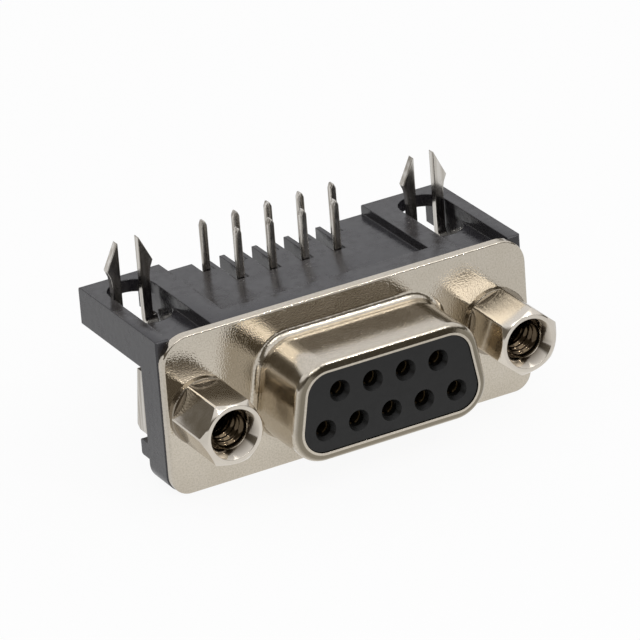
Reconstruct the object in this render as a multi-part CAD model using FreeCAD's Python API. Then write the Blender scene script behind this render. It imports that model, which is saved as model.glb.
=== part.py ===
import FreeCAD, Part

import math
import os

# Nine-way right-angle socket connector for a circuit board, in millimetres.
# X runs along the connector, Y from the plug side to the rear, Z towards the board.
# The origin is the middle of the shell's front face, on the line between the screws.

V = FreeCAD.Vector

# Contact pattern
contact_pitch = 2.77
row_spacing = 2.84
lower_row_count = 5
upper_row_count = 4

# Front shell: the skirt is set round the contacts, the screws beside the skirt,
# and the flange round both
skirt_end = 2.625
skirt_side = 2.53
screw_gap = 4.33
flange_end = 2.91
flange_top_edge = 2.33
flange_bottom_edge = 2.43
flange_top_corner = 2.2
flange_bottom_corner = 1.5
flange_thickness = 0.7
flange_edge_round = 0.18
skirt_corner = 2.6
skirt_slope = 10.0
skirt_reach = 5.95
skirt_wall = 0.5
skirt_root_round = 0.6
lip_width = 0.8
lip_slope = 20
lip_round = 0.45
lip_edge_width = 0.15
lip_edge_round = 0.08
lip_depth = 0.8
screw_hole = 3.1

# Insulators
fit_gap = 0.05
face_recess = 0.08
collar_margin = 1.0
collar_thickness = 1.0
mouth_diameter = 1.7
mouth_depth = 0.4
entry_diameter = 1.2
entry_length = 0.5
rear_block_gap = 1.15
rear_collar_lap = 0.5
rear_collar_thickness = 1.0

# Housing
wall_thickness = 2.8
wall_corner = 1.5
wall_edge_chamfer = 0.12
wall_overhang = 0.07
board_seat_rise = 2.10
rear_margin = 1.6
ear_height = 3.0
inner_rib = 1.82
top_edge_round = 0.25
plate_step = 0.75
plate_thickness = 1.2
plate_notch = 0.6
pocket_depth = 1.0
ear_plate_thickness = 1.0
lock_slot_radius = 1.9
lock_slot_front = 5.85
ledge_height = 1.3
ledge_depth = 1.15
ledge_margin = 0.15
ledge_round = 0.2

# Board side of the contacts
front_tail_row = 8.62
tail_size = 0.54
tail_edge_round = 0.14
tail_length = 3.2
tail_tip_height = 0.45
tail_tip_width = 0.12
tail_bend_radius = 0.6
comb_slot_width = 1.0
comb_slot_gap = 0.15
comb_wall_round = 0.12

# Socket end of the contacts
socket_outer = 1.6
socket_bore = 1.06
socket_depth = 4.2
socket_slit = 0.25
socket_slit_length = 3.2
shank_diameter = 1.3

# Board locks
sheet = 0.6
lug_half_width = 2.4
lug_reach = 3.1
lug_drop = 0.95
strap_half_width = 1.75
strap_bend = 0.35
leg_bend = 0.7
wing_top_depth = 1.3
wing_bottom_depth = 2.1
wing_corner = 0.35
leg_shift = 0.15
leg_inner = 0.85
leg_outer = 1.55
barb_reach = 1.9
barb_rise = 2.1
barb_hook = 0.6
barb_step = 0.1
barb_round = 0.1
leg_rise = 4.17
leg_tip_offset = 0.9
leg_tip_flat = 0.06

# Screwlocks and their fastenings
hex_flats = 4.72
hex_corner_radius = 2.64
hex_turn_left = -4.0
hex_turn_right = 18.5
hex_face_reach = 4.98
hex_face_radius = 2.16
hex_chamfer_angle = 30.0
thread_radius = 1.42
thread_depth = 3.9
drill_point = 0.4
drill_flat = 0.05
countersink_radius = 1.95
countersink_depth = 0.85
washer_thickness = 0.3
washer_radius = 2.66
washer_edge_round = 0.08
stud_gap = 0.02
insert_gap = 0.05
insert_length = 2.2
insert_chamfer = 0.2

# How far a cutter runs past a face, and how far merged blocks run into each other
overrun = 1.0
bite = 0.1

# Places worked out from the sizes above
skirt_width = (lower_row_count - 1) * contact_pitch + 2 * skirt_end
skirt_height = row_spacing + 2 * skirt_side
screw_place = skirt_width / 2 + screw_gap
half_flange = screw_place + flange_end
flange_rise = skirt_height / 2 + flange_top_edge
flange_drop = skirt_height / 2 + flange_bottom_edge
board_level = skirt_height / 2 + board_seat_rise
wall_front = flange_thickness
wall_rear = wall_front + wall_thickness
half_housing = half_flange + wall_overhang
lower_row_level = -row_spacing / 2
upper_row_level = row_spacing / 2
rear_tail_row = front_tail_row + row_spacing
housing_reach = rear_tail_row + rear_margin
lock_row = (front_tail_row + rear_tail_row) / 2
insulator_face = -skirt_reach + face_recess
nose_rear = -skirt_reach + lip_depth
body_offset = skirt_wall + fit_gap
collar_rear = wall_front + collar_thickness
plate_level = board_level - plate_step
plate_front = wall_rear - plate_notch
rear_block_reach = front_tail_row - tail_size / 2 - tail_bend_radius - rear_block_gap
ear_underside = board_level - ear_height
lug_shoulder = ear_underside - lug_drop
ear_inner_edge = screw_place - lock_slot_radius - inner_rib
insert_radius = lug_half_width - sheet - insert_gap
barb_level = board_level + barb_rise
leg_tip_level = board_level + leg_rise
ledge_top = -lug_reach - fit_gap
mouth_bottom = insulator_face + mouth_depth
socket_front = mouth_bottom + entry_length + fit_gap
socket_rear = collar_rear - fit_gap
tail_tip = board_level + tail_length


def box(x0, x1, y0, y1, z0, z1):
    return Part.makeBox(x1 - x0, y1 - y0, z1 - z0, V(x0, y0, z0))


def rod(radius, x, z, y0, y1):
    return Part.makeCylinder(radius, y1 - y0, V(x, y0, z), V(0, 1, 0))


def cone(radius0, radius1, x, z, y0, y1):
    return Part.makeCone(radius0, radius1, y1 - y0, V(x, y0, z), V(0, 1, 0))


def merged(shapes):
    return shapes[0].fuse(shapes[1:]).removeSplitter()


def prism(points, direction):
    corners = points + [points[0]]
    return Part.Face(Part.makePolygon(corners)).extrude(direction)


def edges_where(shape, test):
    return [edge for edge in shape.Edges if test(edge.BoundBox)]


def turned_arc(centre_x, centre_z, radius, start, end, y):
    angles = [math.radians(a) for a in (start, (start + end) / 2, end)]
    return Part.Arc(*[
        V(centre_x + radius * math.cos(a), y, centre_z + radius * math.sin(a))
        for a in angles
    ]).toShape()


def ring_of_arcs(arcs):
    edges = []
    for index, arc in enumerate(arcs):
        following = arcs[(index + 1) % len(arcs)]
        edges.append(arc)
        edges.append(Part.LineSegment(arc.lastVertex(True).Point,
                                      following.firstVertex(True).Point).toShape())
    return Part.Wire(edges)


def d_prism(offset, y0, y1):
    # The D outline of the skirt, moved inwards by an offset, wide side down.
    radius = skirt_corner - offset
    level = skirt_height / 2 - skirt_corner
    low_x = skirt_width / 2 - skirt_corner
    high_x = low_x - 2 * level * math.tan(math.radians(skirt_slope))
    lean = skirt_slope
    arcs = [
        turned_arc(low_x, -level, radius, -90, lean, y0),
        turned_arc(high_x, level, radius, lean, 90, y0),
        turned_arc(-high_x, level, radius, 90, 180 - lean, y0),
        turned_arc(-low_x, -level, radius, 180 - lean, 270, y0),
    ]
    return Part.Face(ring_of_arcs(arcs)).extrude(V(0, y1 - y0, 0))


def rounded_plate(half_x, low_z, high_z, low_radius, high_radius, y0, y1):
    plate = box(-half_x, half_x, y0, y1, low_z, high_z)
    for level, radius in ((low_z, low_radius), (high_z, high_radius)):
        if radius > 0:
            corners = edges_where(plate, lambda b: b.YLength > (y1 - y0) / 2
                                  and abs(b.ZMin - level) < 0.01
                                  and abs(b.ZMax - level) < 0.01)
            plate = plate.makeFillet(radius, corners)
    return plate


def rolled_lip(skirt):
    # The skirt's front edge turns in, slopes to the mouth and ends in a narrow flat.
    def edges_at(level):
        return edges_where(skirt, lambda b: abs(b.YMin - level) < 0.01
                           and abs(b.YMax - level) < 0.01)

    slope_width = lip_width - lip_edge_width
    slope_drop = slope_width * math.tan(math.radians(lip_slope))
    skirt = skirt.makeChamfer(slope_drop, slope_width, edges_at(-skirt_reach))
    if not edges_at(-skirt_reach + slope_drop):
        raise ValueError("the lip's slope lies the wrong way round")
    skirt = skirt.makeFillet(lip_round, edges_at(-skirt_reach + slope_drop))
    return skirt.makeFillet(lip_edge_round, edges_at(-skirt_reach))


def front_shell():
    flange = rounded_plate(half_flange, -flange_drop, flange_rise,
                           flange_bottom_corner, flange_top_corner, 0, flange_thickness)
    front_edges = edges_where(flange, lambda b: b.YMax < 0.01)
    flange = flange.makeFillet(flange_edge_round, front_edges)
    skirt = d_prism(0, -skirt_reach, flange_thickness)
    skirt = rolled_lip(skirt)
    shell = flange.fuse(skirt).removeSplitter()
    root = edges_where(shell, lambda b: abs(b.YMin) < 0.01 and abs(b.YMax) < 0.01
                       and max(-b.XMin, b.XMax) < skirt_width / 2 + bite
                       and b.ZMax < skirt_height / 2 + bite)
    shell = shell.makeFillet(skirt_root_round, root)
    shell = shell.cut(d_prism(skirt_wall, nose_rear, flange_thickness + overrun))
    shell = shell.cut(d_prism(lip_width, -skirt_reach - overrun, nose_rear + bite))
    for side in (-1, 1):
        shell = shell.cut(rod(screw_hole / 2, side * screw_place, 0,
                              -overrun, flange_thickness + overrun))
    return shell


def contact_places():
    # Each contact's x, its level at the socket, and its tail's row on the board.
    places = []
    for count, level, row in ((lower_row_count, lower_row_level, rear_tail_row),
                              (upper_row_count, upper_row_level, front_tail_row)):
        for index in range(count):
            places.append(((index - (count - 1) / 2) * contact_pitch, level, row))
    return places


def front_insulator():
    body = d_prism(body_offset, nose_rear + fit_gap, collar_rear)
    nose = d_prism(lip_width + fit_gap, insulator_face, nose_rear + fit_gap + bite)
    collar = d_prism(-collar_margin, wall_front, collar_rear)
    block = merged([body, nose, collar])
    for x, level, row in contact_places():
        block = block.cut(cone(mouth_diameter / 2, entry_diameter / 2, x, level,
                               insulator_face, mouth_bottom))
        block = block.cut(rod(entry_diameter / 2, x, level, insulator_face, collar_rear))
        block = block.cut(rod(socket_outer / 2 + fit_gap, x, level,
                              mouth_bottom + entry_length, collar_rear + overrun))
    return block


def rear_insulator():
    body = d_prism(body_offset + fit_gap, collar_rear, rear_block_reach)
    collar = d_prism(skirt_wall - rear_collar_lap, wall_rear,
                     wall_rear + rear_collar_thickness)
    block = merged([body, collar])
    for x, level, row in contact_places():
        block = block.cut(rod(shank_diameter / 2 + fit_gap, x, level,
                              collar_rear - overrun, rear_block_reach + overrun))
    return block


def contact(x, level, row):
    # A slit socket in front, and a square tail that turns up to the board behind.
    socket = rod(socket_outer / 2, x, level, socket_front, socket_rear)
    socket = socket.cut(rod(socket_bore / 2, x, level, socket_front - overrun,
                            socket_front + socket_depth))
    half_slit = socket_slit / 2
    socket = socket.cut(box(x - half_slit, x + half_slit, socket_front - overrun,
                            socket_front + socket_slit_length,
                            level - socket_outer, level + socket_outer))
    shank = rod(shank_diameter / 2, x, level, socket_rear - bite, rear_block_reach)
    half = tail_size / 2
    inner = tail_bend_radius
    outer = tail_bend_radius + tail_size
    bend_y = row - half - inner
    bend_z = level + half + inner
    run = box(x - half, x + half, rear_block_reach - bite, bend_y, level - half, level + half)
    bend = rod_across(outer, x, bend_y, bend_z).cut(rod_across(inner, x, bend_y, bend_z))
    bend = bend.common(box(x - half, x + half, bend_y, bend_y + outer, bend_z - outer, bend_z))
    post = tail_post(x, row, bend_z)
    return merged([socket, shank, run, bend, post])


def rod_across(radius, x, y, z):
    return Part.makeCylinder(radius, tail_size, V(x - tail_size / 2, y, z), V(1, 0, 0))


def tail_post(x, row, start):
    half = tail_size / 2
    ridge = tail_tip_width / 2
    shoulder = tail_tip - tail_tip_height
    outline = [V(x - half, row - half, start), V(x + half, row - half, start),
               V(x + half, row - half, shoulder), V(x + ridge, row - half, tail_tip),
               V(x - ridge, row - half, tail_tip), V(x - half, row - half, shoulder)]
    post = prism(outline, V(0, tail_size, 0))
    long_edges = edges_where(post, lambda b: b.ZLength > (shoulder - start) * 0.9)
    return post.makeFillet(tail_edge_round, long_edges)


def bracket_housing():
    wall = rounded_plate(half_housing, -flange_drop, board_level, wall_corner, 0,
                         wall_front, wall_rear)
    front_edges = edges_where(wall, lambda b: b.YMax < wall_front + 0.01)
    wall = wall.makeChamfer(wall_edge_chamfer, front_edges)
    body = merged([wall, centre_plate()] + [ear(side) for side in (-1, 1)])
    body = body.cut(box(-ear_inner_edge, ear_inner_edge, plate_front, wall_rear + bite,
                        plate_level, board_level + overrun))
    body = body.cut(d_prism(skirt_wall, wall_front - overrun, wall_rear + overrun))
    body = body.cut(d_prism(-collar_margin - fit_gap, wall_front - overrun, collar_rear))
    for side in (-1, 1):
        x = side * screw_place
        body = body.cut(rod(screw_hole / 2, x, 0, wall_front - overrun, wall_rear + overrun))
        body = body.cut(box(x - lock_slot_radius, x + lock_slot_radius, wall_front - overrun,
                            lock_row, board_level - pocket_depth, board_level + overrun))
        body = body.cut(lock_slot(x))
    for x, level, row in contact_places():
        body = body.cut(comb_slot(x, row))
    return body


def ear(side):
    # One end of the housing: two ribs with the board seat on top, and the ledge below.
    near = side * ear_inner_edge
    far = side * half_housing
    x0, x1 = min(near, far), max(near, far)
    block = box(x0, x1, wall_rear - bite, housing_reach, ear_underside, board_level)
    rear_top = edges_where(block, lambda b: b.XLength > 1 and b.YMin > housing_reach - 0.01
                           and b.ZMin > board_level - 0.01)
    block = block.makeFillet(top_edge_round, rear_top)
    middle = side * screw_place
    hollow = box(middle - lock_slot_radius, middle + lock_slot_radius, lock_row,
                 housing_reach + overrun, ear_underside - overrun,
                 board_level - ear_plate_thickness)
    return block.cut(hollow).fuse(ledge(side))


def ledge(side):
    far = side * half_housing
    near = side * (screw_place - lug_half_width - ledge_margin)
    x0, x1 = min(near, far), max(near, far)
    block = box(x0, x1, wall_rear - bite, wall_rear + ledge_depth,
                ledge_top - ledge_height, ledge_top)
    rear_edges = edges_where(block, lambda b: b.XLength > 1
                             and b.YMin > wall_rear + ledge_depth - 0.01)
    return block.makeFillet(ledge_round, rear_edges)


def lock_slot(x):
    # The long hole that the board lock's legs come up through.
    front = lock_slot_front + lock_slot_radius
    low, high = ear_underside - overrun, board_level + overrun
    slot = box(x - lock_slot_radius, x + lock_slot_radius, front, lock_row, low, high)
    for y in (front, lock_row):
        end = Part.makeCylinder(lock_slot_radius, high - low, V(x, y, low))
        slot = slot.fuse(end)
    return slot


def centre_plate():
    half_width = ear_inner_edge + bite
    plate = box(-half_width, half_width, wall_rear - bite, housing_reach,
                plate_level - plate_thickness, plate_level)
    rear_top = edges_where(plate, lambda b: b.XLength > 1 and b.YMin > housing_reach - 0.01
                           and b.ZMin > plate_level - 0.01)
    return plate.makeFillet(top_edge_round, rear_top)


def comb_slot(x, row):
    # A slot open at the rear, with its mouth eased so that the tail can enter.
    half = comb_slot_width / 2
    front = row - tail_size / 2 - comb_slot_gap
    low, high = plate_level - plate_thickness - overrun, plate_level + overrun
    mouth = housing_reach - comb_wall_round
    wide = half + comb_wall_round
    past = housing_reach + overrun
    outline = [V(x - half, front, low), V(x - half, mouth, low),
               V(x - wide, housing_reach, low), V(x - wide, past, low),
               V(x + wide, past, low), V(x + wide, housing_reach, low),
               V(x + half, mouth, low), V(x + half, front, low)]
    return prism(outline, V(0, 0, high - low))


def board_lock(side):
    x = side * screw_place
    top = ear_underside
    low = top - sheet
    bend_y = wall_rear + sheet + strap_bend
    bend_z = low - strap_bend
    lug = box(x - lug_half_width, x + lug_half_width, wall_rear, wall_rear + sheet,
              -lug_reach, lug_shoulder)
    neck = box(x - strap_half_width, x + strap_half_width, wall_rear, wall_rear + sheet,
               screw_hole / 2, bend_z)
    shoulder = sheet_bend(x - strap_half_width, x + strap_half_width, bend_y, bend_z,
                          strap_bend, -1, 1)
    leg_front = lock_row - sheet / 2
    foot_y = leg_front - leg_bend
    foot_z = top + leg_bend
    strap = box(x - strap_half_width, x + strap_half_width, bend_y, foot_y, low, top)
    pieces = [lug, neck, shoulder, strap]
    for way in (-1, 1):
        pieces.append(lock_wing(x, way))
        foot_near = x + side * leg_shift + way * leg_inner
        near, far = sorted((foot_near, x + way * strap_half_width))
        pieces.append(sheet_bend(near, far, foot_y, foot_z, leg_bend, 1, -1))
        pieces.append(lock_leg(x + side * leg_shift, way, leg_front, foot_z))
    lock = merged(pieces)
    return lock.cut(rod(screw_hole / 2, x, 0, wall_rear - overrun,
                        wall_rear + sheet + overrun))


def sheet_bend(x0, x1, y, z, inner, along, up):
    # A quarter turn of the sheet about a line along X, in the quadrant (along, up).
    outer = inner + sheet
    ring = Part.makeCylinder(outer, x1 - x0, V(x0, y, z), V(1, 0, 0))
    ring = ring.cut(Part.makeCylinder(inner, x1 - x0, V(x0, y, z), V(1, 0, 0)))
    y0, y1 = sorted((y, y + along * outer))
    z0, z1 = sorted((z, z + up * outer))
    return ring.common(box(x0, x1, y0, y1, z0, z1))


def lock_wing(x, way):
    near, far = sorted((x + way * (lug_half_width - sheet), x + way * lug_half_width))
    front = wall_rear + sheet
    low_rear = front + wing_bottom_depth
    outline = [V(near, front - bite, -lug_reach), V(near, low_rear - wing_corner, -lug_reach),
               V(near, low_rear, -lug_reach + wing_corner),
               V(near, front + wing_top_depth, lug_shoulder), V(near, front - bite, lug_shoulder)]
    return prism(outline, V(far - near, 0, 0))


def lock_leg(x, way, leg_front, start):
    # The flat leg, with its barb facing away from its twin.
    profile = [(leg_inner, start), (leg_inner, barb_level - barb_hook),
               (leg_tip_offset - leg_tip_flat, leg_tip_level - leg_tip_flat),
               (leg_tip_offset, leg_tip_level),
               (barb_reach, barb_level), (leg_outer + barb_step, barb_level - barb_hook),
               (leg_outer, barb_level - 2 * barb_hook), (leg_outer, start)]
    leg = prism([V(x + way * u, leg_front, z) for u, z in profile], V(0, sheet, 0))
    barb_edge = edges_where(leg, lambda b: abs(b.ZMin - barb_level) < 0.01
                            and abs(b.ZMax - barb_level) < 0.01 and b.YLength > sheet / 2)
    return leg.makeFillet(barb_round, barb_edge)


def screwlock(side):
    x = side * screw_place
    rear = -washer_thickness
    corner = hex_flats / math.sqrt(3)
    turn = hex_turn_left if side < 0 else hex_turn_right
    ring = []
    for index in range(6):
        angle = math.radians(turn + 60 * index)
        ring.append(V(x + corner * math.cos(angle), -hex_face_reach, corner * math.sin(angle)))
    body = prism(ring, V(0, rear + hex_face_reach, 0))
    body = body.common(rod(hex_corner_radius, x, 0, -hex_face_reach, rear))
    slope = 1 / math.tan(math.radians(hex_chamfer_angle))
    reach = hex_face_reach + rear
    body = body.common(cone(hex_face_radius, hex_face_radius + reach * slope, x, 0,
                            -hex_face_reach, rear))
    stud_rear = wall_rear + sheet + insert_length
    stud = rod(thread_radius - stud_gap, x, 0, rear - bite, stud_rear)
    body = merged([body, stud])
    sink_rear = -hex_face_reach + countersink_depth
    bore_rear = -hex_face_reach + thread_depth
    body = body.cut(cone(countersink_radius, thread_radius, x, 0, -hex_face_reach, sink_rear))
    body = body.cut(rod(thread_radius, x, 0, -hex_face_reach, bore_rear))
    return body.cut(cone(thread_radius, drill_flat, x, 0, bore_rear, bore_rear + drill_point))


def washer(side):
    x = side * screw_place
    ring = rod(washer_radius, x, 0, -washer_thickness, 0)
    front_edge = edges_where(ring, lambda b: b.YMax < -washer_thickness + 0.01)
    ring = ring.makeFillet(washer_edge_round, front_edge)
    return ring.cut(rod(screw_hole / 2, x, 0, -overrun, overrun))


def threaded_insert(side):
    x = side * screw_place
    front = wall_rear + sheet
    bush = rod(insert_radius, x, 0, front, front + insert_length)
    rear_edge = edges_where(bush, lambda b: b.YMin > front + insert_length - 0.01)
    bush = bush.makeChamfer(insert_chamfer, rear_edge)
    return bush.cut(rod(thread_radius, x, 0, front - overrun,
                        front + insert_length + overrun))


def save(shape, name):
    solids = shape.Solids
    if len(solids) != 1 or not shape.isValid():
        raise ValueError(name + " is not one valid solid")
    solids[0].exportStep(os.path.join("parts", name + ".step"))


os.makedirs("parts", exist_ok=True)
save(front_shell(), "front_shell")
save(front_insulator(), "front_insulator")
save(rear_insulator(), "rear_insulator")
save(bracket_housing(), "bracket_housing")
for number, place in enumerate(contact_places(), start=1):
    save(contact(*place), "contact_" + str(number))
for side, side_name in ((-1, "left"), (1, "right")):
    save(board_lock(side), "board_lock_" + side_name)
    save(screwlock(side), "screwlock_" + side_name)
    save(washer(side), "washer_" + side_name)
    save(threaded_insert(side), "threaded_insert_" + side_name)
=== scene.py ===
import math

import bmesh
import bpy
from mathutils import Matrix, Vector


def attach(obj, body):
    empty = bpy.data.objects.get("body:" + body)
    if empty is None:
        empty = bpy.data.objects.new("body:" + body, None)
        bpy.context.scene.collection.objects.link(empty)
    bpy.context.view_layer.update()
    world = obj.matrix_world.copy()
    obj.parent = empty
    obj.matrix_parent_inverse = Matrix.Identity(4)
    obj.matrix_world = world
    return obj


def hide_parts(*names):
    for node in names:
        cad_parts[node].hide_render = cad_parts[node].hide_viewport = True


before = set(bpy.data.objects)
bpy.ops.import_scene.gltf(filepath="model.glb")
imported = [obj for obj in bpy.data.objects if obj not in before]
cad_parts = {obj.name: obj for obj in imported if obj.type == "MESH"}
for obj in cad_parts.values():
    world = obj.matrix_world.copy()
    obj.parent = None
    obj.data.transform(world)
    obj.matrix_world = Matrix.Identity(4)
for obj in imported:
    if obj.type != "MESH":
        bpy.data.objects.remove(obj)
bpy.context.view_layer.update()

MM = 0.001

# Places on the connector, in millimetres, as the solids have them
SCREW_X = 12.495
HEX_FRONT = -4.98
HEX_REAR = -0.3
STUD_REAR = 6.3
THREAD_REAR = -1.08
DRILL_END = -0.68
FLOOR_LEVEL = -6.38

# A screwlock's radii, depths and thread, in millimetres
HEX_HALF_FLATS = 2.36
HEX_CORNER = 2.69
HEX_FACE = 2.26
SINK = 1.98
SINK_DEPTH = 0.85
RIM = 1.37
RIM_FRONT = HEX_FRONT + SINK_DEPTH
MAJOR = 1.42
STUD = 1.40
THREAD_PITCH = 0.635
THREAD_HEIGHT = 0.31
CHAMFER_SLOPE = math.tan(math.radians(45))

# How finely a screwlock is turned, how far its edges are eased, and how near two places
# are that count as the same, in millimetres
TURNED_STEPS = 96
THREAD_ROWS = 62
RIM_ROWS = 3
RIM_EASE = 0.07
EDGE_EASE = 0.035
SAME = 0.001

# The camera's lens and roll, in millimetres and degrees
CAMERA_LENS = 297.82
CAMERA_ROLL = -4.376


# Finishes
def linear(hex_colour):
    """The linear colour of an sRGB hex value, with full alpha."""
    channels = [int(hex_colour[i:i + 2], 16) / 255 for i in (1, 3, 5)]
    return [c / 12.92 if c <= 0.04045 else ((c + 0.055) / 1.055) ** 2.4
            for c in channels] + [1.0]


def add(tree, kind, inputs=None, **settings):
    """Adds a shader node, sets its properties, and links or sets its inputs."""
    node = tree.nodes.new("ShaderNode" + kind)
    for name, value in settings.items():
        setattr(node, name, value)
    for name, value in (inputs or {}).items():
        if isinstance(value, bpy.types.NodeSocket):
            tree.links.new(value, node.inputs[name])
        else:
            node.inputs[name].default_value = value
    return node


def start(name):
    """A bare material: its node tree and the place on the piece in metres."""
    material = bpy.data.materials.new(name)
    material.use_nodes = True
    tree = material.node_tree
    tree.nodes.clear()
    return material, tree, add(tree, "TexCoord").outputs["Object"]


def finish_surface(tree, colour, rough, height, depth_mm, edge_mm=0.02, **fixed):
    """Closes a material: colour, roughness, soft edges and relief go to one shader."""
    edges = add(tree, "Bevel", {"Radius": edge_mm * MM}, samples=6)
    relief = add(tree, "Bump", {"Height": height, "Strength": 1.0, "Distance": depth_mm * MM,
                                "Normal": edges.outputs["Normal"]})
    inputs = {"Base Color": colour, "Roughness": rough, "Normal": relief.outputs["Normal"]}
    inputs.update({name.replace("_", " "): value for name, value in fixed.items()})
    shader = add(tree, "BsdfPrincipled", inputs)
    add(tree, "OutputMaterial", {"Surface": shader.outputs["BSDF"]})


def satin_nickel_on_steel():
    """Pressed steel with a satin nickel plate. It gives warm grey reflections through a
    frosted grain of 0.1 mm, drawn at 0.13 mm so that it shows. The plate is cloudy over
    some 2.5 mm. On the skirt the draw has stretched it smoother. The turned-in lip
    carries a painted shade: a darker band, with its front edge left pale."""
    material, tree, place = start("satin_nickel_on_steel")
    cloud = add(tree, "TexNoise", {"Vector": place, "Scale": 1 / (2.5 * MM), "Detail": 3.0})
    grain = add(tree, "TexNoise", {"Vector": place, "Scale": 1 / (0.13 * MM), "Detail": 1.0})
    colour = add(tree, "MixRGB", {"Fac": cloud.outputs["Fac"], "Color1": linear("#c9c0b0"),
                                  "Color2": linear("#d6cec1")})
    pits = add(tree, "MapRange", {"Value": grain.outputs["Fac"], "From Min": 0.3,
                                  "From Max": 0.6, "To Min": 0.35, "To Max": 0.0})
    pitted = add(tree, "MixRGB", {"Fac": pits.outputs[0], "Color1": colour.outputs[0],
                                  "Color2": linear("#a39c8e")})
    both = add(tree, "Math", {0: cloud.outputs["Fac"], 1: grain.outputs["Fac"]}, operation="ADD")
    plain = add(tree, "MapRange", {"Value": both.outputs[0], "From Min": 0.7, "From Max": 1.3,
                                   "To Min": 0.13, "To Max": 0.21})
    parts = add(tree, "SeparateXYZ", {0: place})
    frost = add(tree, "MapRange", {"Value": parts.outputs["Y"], "From Min": -2.0 * MM,
                                   "From Max": -0.3 * MM, "To Min": 0.3, "To Max": 1.0})
    relief = add(tree, "Math", {0: grain.outputs["Fac"], 1: frost.outputs[0]},
                 operation="MULTIPLY")
    rough = add(tree, "Math", {0: frost.outputs[0], 1: -0.09, 2: plain.outputs[0]},
                operation="MULTIPLY_ADD")
    # Painted shade on the turned-in lip: a darker band, with its very front edge left pale,
    # stands in for the dark reflection across the lip.
    lip = add(tree, "MapRange", {"Value": parts.outputs["Y"], "From Min": -5.68 * MM,
                                 "From Max": -5.84 * MM, "To Max": 0.9})
    edge = add(tree, "MapRange", {"Value": parts.outputs["Y"], "From Min": -5.945 * MM,
                                  "From Max": -5.925 * MM})
    painted_lip_shade = add(tree, "Math", {0: lip.outputs[0], 1: edge.outputs[0]}, operation="MULTIPLY")
    lip_painted_shade_colour = add(tree, "MixRGB", {"Fac": painted_lip_shade.outputs[0], "Color1": pitted.outputs[0],
                                  "Color2": linear("#7c7464")})
    finish_surface(tree, lip_painted_shade_colour.outputs[0], rough.outputs[0], relief.outputs[0], 0.011,
                   Metallic=1.0)
    return material


def bright_nickel(name, pale, dark):
    """Turned metal with a bright nickel plate. It gives brown and white reflections
    with the faint rings of the turning tool, 0.05 mm apart and drawn at 0.09 mm, round
    each screw axis. Down the countersink and in the threaded hole the colour carries a
    painted shade that darkens to a dull brown, and the roughness drops there. The
    thread's inner rim is left out of the painted shade and stays pale."""
    material, tree, place = start(name)
    cloud = add(tree, "TexNoise", {"Vector": place, "Scale": 1 / (1.2 * MM), "Detail": 3.0})
    parts = add(tree, "SeparateXYZ", {0: place})
    outer = add(tree, "Math", {0: parts.outputs["X"]}, operation="ABSOLUTE")
    across = add(tree, "Math", {0: outer.outputs[0], 1: SCREW_X * MM}, operation="SUBTRACT")
    flat = add(tree, "CombineXYZ", {"X": across.outputs[0], "Y": parts.outputs["Z"]})
    radius = add(tree, "VectorMath", {0: flat.outputs[0]}, operation="LENGTH")
    rings = add(tree, "TexNoise", {"W": radius.outputs["Value"], "Scale": 1 / (0.09 * MM),
                                   "Detail": 1.0}, noise_dimensions="1D")
    colour = add(tree, "MixRGB", {"Fac": cloud.outputs["Fac"], "Color1": linear(dark),
                                  "Color2": linear(pale)})
    # The painted shade of the hole begins under the countersink's front edge and stops at the
    # drill's end
    inside = add(tree, "MapRange", {"Value": radius.outputs["Value"], "From Min": 2.05 * MM,
                                    "From Max": 1.38 * MM})
    ahead = add(tree, "MapRange", {"Value": parts.outputs["Y"], "From Min": -0.6 * MM,
                                   "From Max": -0.7 * MM})
    deep = add(tree, "Math", {0: inside.outputs[0], 1: ahead.outputs[0]}, operation="MULTIPLY")
    rim = add(tree, "Math", {0: parts.outputs["Y"], 1: RIM_FRONT * MM, 2: 0.09 * MM},
              operation="COMPARE")
    painted_hole_shade = add(tree, "Math", {0: deep.outputs[0], 1: rim.outputs[0]}, operation="SUBTRACT",
               use_clamp=True)
    # Painted shade: the colour darkens to a dull brown down the countersink and in the threaded
    # hole, for the shade in the hollow; the thread's rim stays pale.
    hollow_painted_shade_and_roughness = add(tree, "MixRGB", {"Fac": painted_hole_shade.outputs[0], "Color1": colour.outputs[0],
                                "Color2": linear("#564b3c")})
    rough = add(tree, "MapRange", {"Value": cloud.outputs["Fac"], "From Min": 0.3,
                                   "From Max": 0.7, "To Min": 0.11, "To Max": 0.19})
    hole_roughness = add(tree, "Math", {0: painted_hole_shade.outputs[0], 1: -0.07, 2: rough.outputs[0]},
                operation="MULTIPLY_ADD")
    finish_surface(tree, hollow_painted_shade_and_roughness.outputs[0], hole_roughness.outputs[0], rings.outputs["Fac"], 0.0015,
                   Metallic=1.0)
    return material


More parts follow.
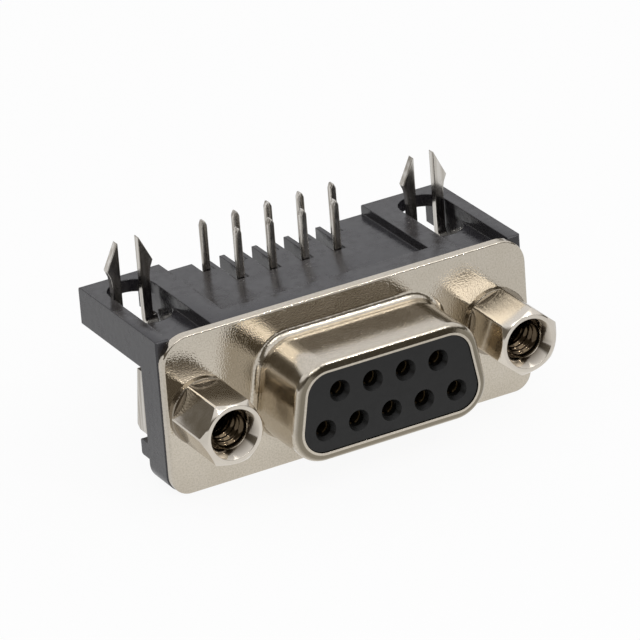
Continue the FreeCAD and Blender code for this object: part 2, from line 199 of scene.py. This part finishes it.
def drawn_tin(name, pale, dark, streak_mm, rough_low, rough_high, depth_mm, edge_mm):
    """Tin over a drawn or rolled copper alloy. It gives a bright grey with streaks that
    run up the tails and legs. The drawing lines are 0.02 mm wide, and made wider here so
    that they show. The contacts' sockets, ahead of the flange, carry a thin gold instead,
    rougher, and painted a dark brown as painted shade for the deep holes."""
    material, tree, place = start(name)
    along = add(tree, "Mapping", {"Vector": place, "Scale": (1.0, 0.8, 0.06)})
    streak = add(tree, "TexNoise", {"Vector": along.outputs[0], "Scale": 1 / (streak_mm * MM),
                                    "Detail": 0.0})
    cloud = add(tree, "TexNoise", {"Vector": place, "Scale": 1 / (0.7 * MM), "Detail": 3.0})
    line = add(tree, "MapRange", {"Value": streak.outputs["Fac"], "From Min": 0.35,
                                  "From Max": 0.65})
    colour = add(tree, "MixRGB", {"Fac": line.outputs[0], "Color1": linear(dark),
                                  "Color2": linear(pale)})
    rough = add(tree, "MapRange", {"Value": cloud.outputs["Fac"], "From Min": 0.3,
                                   "From Max": 0.7, "To Min": rough_low, "To Max": rough_high})
    parts = add(tree, "SeparateXYZ", {0: place})
    socket = add(tree, "MapRange", {"Value": parts.outputs["Y"], "From Min": 0.0,
                                    "From Max": -0.5 * MM})
    # The sockets' gold is given a dark brown, a painted shade for the deep holes that the
    # contacts sit in.
    gold_with_painted_shade = add(tree, "MixRGB", {"Fac": socket.outputs[0], "Color1": colour.outputs[0],
                                  "Color2": linear("#4f422e")})
    hollow_painted_shade_and_roughness = add(tree, "Math", {0: socket.outputs[0], 1: 0.35, 2: rough.outputs[0]},
               operation="MULTIPLY_ADD")
    finish_surface(tree, gold_with_painted_shade.outputs[0], hollow_painted_shade_and_roughness.outputs[0], streak.outputs["Fac"], depth_mm,
                   edge_mm, Metallic=1.0)
    return material


def moulded_polyester(name, pale, dark, rough_low, rough_high, grain_mm, depth_mm, edge_mm,
                      ior):
    """Glass-filled polyester, injection moulded. It gives a near black with a soft
    sheen, cloudy over 1.5 mm where the fill flowed, dimpled over 0.5 mm where it sank,
    and with the fine grain of the spark eroded mould, drawn coarser than its 0.02 mm."""
    material, tree, place = start(name)
    cloud = add(tree, "TexNoise", {"Vector": place, "Scale": 1 / (1.5 * MM), "Detail": 4.0})
    dimple = add(tree, "TexNoise", {"Vector": place, "Scale": 1 / (0.5 * MM), "Detail": 2.0})
    grain = add(tree, "TexNoise", {"Vector": place, "Scale": 1 / (grain_mm * MM), "Detail": 2.0})
    colour = add(tree, "MixRGB", {"Fac": cloud.outputs["Fac"], "Color1": linear(dark),
                                  "Color2": linear(pale)})
    both = add(tree, "Math", {0: cloud.outputs["Fac"], 1: dimple.outputs["Fac"]},
               operation="ADD")
    rough = add(tree, "MapRange", {"Value": both.outputs[0], "From Min": 0.75,
                                   "From Max": 1.25, "To Min": rough_low, "To Max": rough_high})
    relief = add(tree, "Math", {0: dimple.outputs["Fac"], 1: 3.0, 2: grain.outputs["Fac"]},
                 operation="MULTIPLY_ADD")
    finish_surface(tree, colour.outputs[0], rough.outputs[0], relief.outputs[0], depth_mm,
                   edge_mm, IOR=ior)
    return material


shell_finish = satin_nickel_on_steel()
screw_finish = bright_nickel("bright_nickel_on_brass", "#e2dbd0", "#d2cabd")
# The washer takes the screwlock's bright nickel in darker colours: a painted shade for its place
# between the hexagon and the flange.
washer_finish_with_painted_shade = bright_nickel("bright_nickel_on_spring_steel_painted_shade", "#a49b8d", "#8d8476")
contact_finish = drawn_tin("tin_on_drawn_bronze", "#e4e0d9", "#aaa49b", 0.20, 0.16, 0.24,
                           0.004, 0.16)
lock_finish = drawn_tin("tin_on_rolled_brass", "#dedad3", "#bdb7ad", 0.24, 0.14, 0.22,
                        0.003, 0.10)
housing_finish = moulded_polyester("black_glass_filled_polyester", "#302e33", "#161518",
                                   0.14, 0.30, 0.12, 0.0042, 0.12, 1.60)
insulator_finish = moulded_polyester("black_polyester", "#121211", "#0c0c0c",
                                     0.34, 0.48, 0.15, 0.002, 0.03, 1.44)


def dress(node, material):
    """Gives a solid that shows as it is its finish."""
    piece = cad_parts[node]
    piece.data.materials.clear()
    piece.data.materials.append(material)


# Pieces
def new_piece(name, shape, material, nodes, sharp):
    """Makes an object of a bmesh, in place of the named solids, with the edges sharp
    that turn by more than the given degrees."""
    mesh = bpy.data.meshes.new(name)
    shape.to_mesh(mesh)
    shape.free()
    for polygon in mesh.polygons:
        polygon.use_smooth = True
    mesh.set_sharp_from_angle(angle=math.radians(sharp))
    piece = bpy.data.objects.new(name, mesh)
    bpy.context.scene.collection.objects.link(piece)
    mesh.materials.append(material)
    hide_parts(*nodes)
    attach(piece, "root")
    return piece


def merged_copy(node):
    """A bmesh of a solid's mesh, joined up and with its flat faces made whole."""
    shape = bmesh.new()
    shape.from_mesh(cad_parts[node].data)
    bmesh.ops.remove_doubles(shape, verts=shape.verts, dist=0.0005 * MM)
    bmesh.ops.dissolve_limit(shape, angle_limit=math.radians(0.5), verts=shape.verts,
                             edges=shape.edges)
    return shape


def eased(node, name, material, radius_mm, angle=40.0):
    """A solid with every outer edge eased, as moulding or tumbling leaves it."""
    piece = new_piece(name, merged_copy(node), material, [node], angle)
    rounding = piece.modifiers.new("eased_edges", "BEVEL")
    rounding.width = radius_mm * MM
    rounding.segments = 3
    rounding.limit_method = "ANGLE"
    rounding.angle_limit = math.radians(angle)
    rounding.miter_outer = "MITER_ARC"
    rounding.harden_normals = True


# Screwlocks: a turned blank with six flats, a countersink and a real thread
def thread_radius(y, turn):
    """The wall of the threaded hole at a place along it and a share of a turn. The
    rounded ridge rises and ends over one pitch."""
    height = 0.5 - 0.5 * math.cos(math.tau * (y / THREAD_PITCH + turn))
    lead = min(1.0, max(0.0, (y - RIM_FRONT) / THREAD_PITCH))
    runout = min(1.0, max(0.0, (THREAD_REAR - y) / THREAD_PITCH))
    return MAJOR - THREAD_HEIGHT * height * lead * runout


def turned_blank():
    """The screwlock as the lathe leaves it, about its own axis and threaded."""
    chamfer_rear = HEX_FRONT + (HEX_CORNER - HEX_FACE) * CHAMFER_SLOPE
    outline = [(0, STUD_REAR), (STUD, STUD_REAR), (STUD, HEX_REAR), (HEX_CORNER, HEX_REAR),
               (HEX_CORNER, chamfer_rear), (HEX_FACE, HEX_FRONT), (SINK, HEX_FRONT),
               (RIM, RIM_FRONT)]
    outline += [(MAJOR, RIM_FRONT + (THREAD_REAR - RIM_FRONT) * row / THREAD_ROWS)
                for row in range(RIM_ROWS, THREAD_ROWS + 1)]
    outline += [(0, DRILL_END)]
    shape = bmesh.new()
    points = [shape.verts.new((radius, y, 0)) for radius, y in outline]
    wires = [shape.edges.new(pair) for pair in zip(points, points[1:])]
    bmesh.ops.spin(shape, geom=points + wires, cent=(0, 0, 0), axis=(0, 1, 0),
                   angle=math.tau, steps=TURNED_STEPS, use_merge=True)
    bmesh.ops.remove_doubles(shape, verts=shape.verts, dist=0.0005)
    bmesh.ops.recalc_face_normals(shape, faces=shape.faces)
    for vert in shape.verts:
        radius = math.hypot(vert.co.x, vert.co.z)
        along_thread = RIM_FRONT - SAME < vert.co.y < THREAD_REAR + SAME
        if along_thread and abs(radius - MAJOR) < SAME:
            turn = math.atan2(vert.co.z, vert.co.x) / math.tau
            wanted = thread_radius(vert.co.y, turn) / radius
            vert.co.x *= wanted
            vert.co.z *= wanted
    return shape


def cut_flats(shape, turn_degrees):
    """Cuts the blank to a hexagon, and gives the edges round the six flats."""
    flats = []
    for index in range(6):
        angle = math.radians(turn_degrees + 30 + 60 * index)
        normal = Vector((math.cos(angle), 0, math.sin(angle)))
        cut = bmesh.ops.bisect_plane(shape, geom=shape.verts[:] + shape.edges[:] + shape.faces[:],
                                     plane_co=normal * HEX_HALF_FLATS, plane_no=normal,
                                     clear_outer=True)
        edges = [item for item in cut["geom_cut"] if isinstance(item, bmesh.types.BMEdge)]
        made = bmesh.ops.edgenet_fill(shape, edges=edges)
        flats += made["faces"]
    bmesh.ops.recalc_face_normals(shape, faces=shape.faces)
    return {edge for flat in flats if flat.is_valid for edge in flat.edges}


def ease_edges(shape, round_flats):
    """Eases the edges round the flats and the front face, and more so the thread's rim."""
    rim, outer = [], []
    for edge in shape.edges:
        radii = [math.hypot(vert.co.x, vert.co.z) for vert in edge.verts]
        ahead = all(abs(vert.co.y - HEX_FRONT) < SAME for vert in edge.verts)
        sunk = all(abs(vert.co.y - RIM_FRONT) < SAME for vert in edge.verts)
        if edge in round_flats or (ahead and max(radii) - min(radii) < SAME):
            outer.append(edge)
        elif sunk and max(radii) < RIM + SAME:
            rim.append(edge)
    for edges, width in ((rim, RIM_EASE), (outer, EDGE_EASE)):
        bmesh.ops.bevel(shape, geom=edges, offset=width, affect="EDGES", segments=3,
                        profile=0.5, material=-1, clamp_overlap=True)


def screwlock(side, node, turn_degrees):
    """A screwlock in its place, with the hexagon turned by the given degrees."""
    shape = turned_blank()
    ease_edges(shape, cut_flats(shape, turn_degrees))
    bmesh.ops.transform(shape, verts=shape.verts,
                        matrix=Matrix.Scale(MM, 4) @ Matrix.Translation((side * SCREW_X, 0, 0)))
    new_piece("turned_" + node, shape, screw_finish, [node], 35.0)


screwlock(-1, "screwlock_left", -4.0)
screwlock(1, "screwlock_right", 18.5)

dress("front_shell", shell_finish)
dress("front_insulator", insulator_finish)
dress("rear_insulator", insulator_finish)
for number in range(1, 10):
    contact = "contact_" + str(number)
    eased(contact, "tinned_" + contact, contact_finish, 0.08, 55.0)
for side in ("left", "right"):
    dress("washer_" + side, washer_finish_with_painted_shade)
    dress("threaded_insert_" + side, screw_finish)
    eased("board_lock_" + side, "tinned_board_lock_" + side, lock_finish, 0.12)
eased("bracket_housing", "moulded_housing", housing_finish, 0.09)


# Floor, light and camera
def white_sweep():
    """Matt white paper: white to the lens, with a faint shadow. In reflections it is
    nearly white, with a stronger shadow, and with a painted pool of light that is
    brightest near the connector and dimmer away from it."""
    material, tree, place = start("white_sweep")
    path = add(tree, "LightPath")
    mirrored = add(tree, "Math", {0: path.outputs["Is Glossy Ray"],
                                  1: path.outputs["Is Transmission Ray"]}, operation="MAXIMUM")
    matt = add(tree, "BsdfDiffuse", {"Color": linear("#f4f4f4")})
    glow = add(tree, "Emission", {"Color": linear("#ffffff"), "Strength": 1.0})
    seen = add(tree, "MixShader", {0: 0.08, 1: glow.outputs[0], 2: matt.outputs[0]})
    # A painted pool of light: in reflections the paper's glow is strongest near the connector and
    # fades with distance from it.
    away = add(tree, "VectorMath", {0: place}, operation="LENGTH")
    painted_light_pool = add(tree, "MapRange", {"Value": away.outputs["Value"], "From Min": 8 * MM,
                                  "From Max": 28 * MM, "To Min": 1.1, "To Max": 0.75})
    painted_pool_glow = add(tree, "Emission", {"Strength": painted_light_pool.outputs[0]})
    shaded = add(tree, "MixShader", {0: 0.35, 1: painted_pool_glow.outputs[0], 2: matt.outputs[0]})
    dull = add(tree, "MixShader", {0: mirrored.outputs[0], 1: matt.outputs[0],
                                   2: shaded.outputs[0]})
    whole = add(tree, "MixShader", {0: path.outputs["Is Camera Ray"], 1: dull.outputs[0],
                                    2: seen.outputs[0]})
    add(tree, "OutputMaterial", {"Surface": whole.outputs[0]})
    return material


def floor():
    """The paper that the connector stands on."""
    shape = bmesh.new()
    bmesh.ops.create_grid(shape, x_segments=1, y_segments=1, size=2.0)
    mesh = bpy.data.meshes.new("floor")
    shape.to_mesh(mesh)
    shape.free()
    piece = bpy.data.objects.new("floor", mesh)
    piece.location.z = FLOOR_LEVEL * MM
    bpy.context.scene.collection.objects.link(piece)
    mesh.materials.append(white_sweep())


def surroundings():
    """A white ceiling that comes lower behind than in front, dim walls, and a strip
    just above the horizon that carries the white table on."""
    world = bpy.data.worlds.new("studio")
    bpy.context.scene.world = world
    world.use_nodes = True
    tree = world.node_tree
    tree.nodes.clear()
    way = add(tree, "TexCoord").outputs["Generated"]
    rise = add(tree, "VectorMath", {0: way, 1: (0.12, 0.12, 1.0)}, operation="DOT_PRODUCT")
    ceiling = add(tree, "MapRange", {"Value": rise.outputs["Value"], "From Min": 0.34,
                                     "From Max": 0.54}, interpolation_type="SMOOTHSTEP")
    up = add(tree, "VectorMath", {0: way, 1: (0.0, 0.0, 1.0)}, operation="DOT_PRODUCT")
    strip = add(tree, "MapRange", {"Value": up.outputs["Value"], "From Min": 0.12,
                                   "From Max": 0.07}, interpolation_type="SMOOTHSTEP")
    bright = add(tree, "Math", {0: ceiling.outputs[0], 1: strip.outputs[0]},
                 operation="MAXIMUM")
    colour = add(tree, "MixRGB", {"Fac": bright.outputs[0], "Color1": linear("#67625a"),
                                  "Color2": linear("#f2f2f4")})
    light = add(tree, "Background", {"Color": colour.outputs[0], "Strength": 1.0})
    add(tree, "OutputWorld", {"Surface": light.outputs[0]})


def lamp(name, place, power, size):
    """A square soft box that faces the connector."""
    data = bpy.data.lights.new(name, "AREA")
    data.energy = power
    data.size = size
    piece = bpy.data.objects.new(name, data)
    piece.location = place
    piece.rotation_euler = (-Vector(place)).to_track_quat("-Z", "Y").to_euler()
    bpy.context.scene.collection.objects.link(piece)


def camera():
    """The photograph's camera: a long lens from the front left, above, slightly rolled."""
    data = bpy.data.cameras.new("camera")
    data.sensor_width = 36
    data.lens = CAMERA_LENS
    data.clip_start = 0.01
    piece = bpy.data.objects.new("camera", data)
    way = Vector((0.4193, 0.8039, -0.4218))
    roll = Matrix.Rotation(math.radians(CAMERA_ROLL), 3, "Z")
    turn = way.to_track_quat("-Z", "Y").to_matrix() @ roll
    piece.location = Vector((-165.47, -312.87, 168.52)) * MM
    piece.rotation_euler = turn.to_euler()
    bpy.context.scene.collection.objects.link(piece)
    bpy.context.scene.camera = piece


floor()
surroundings()
lamp("top_light", (0.19, -0.24, 0.37), 0.15, 0.20)
lamp("front_light", (-0.022, -0.347, 0.284), 0.17, 0.19)
lamp("left_spot", (-0.11, -0.32, 0.29), 0.05, 0.012)
lamp("right_spot", (0.18, -0.28, 0.30), 0.05, 0.012)
camera()
bpy.context.scene.view_settings.view_transform = "Standard"

bpy.context.view_layer.update()
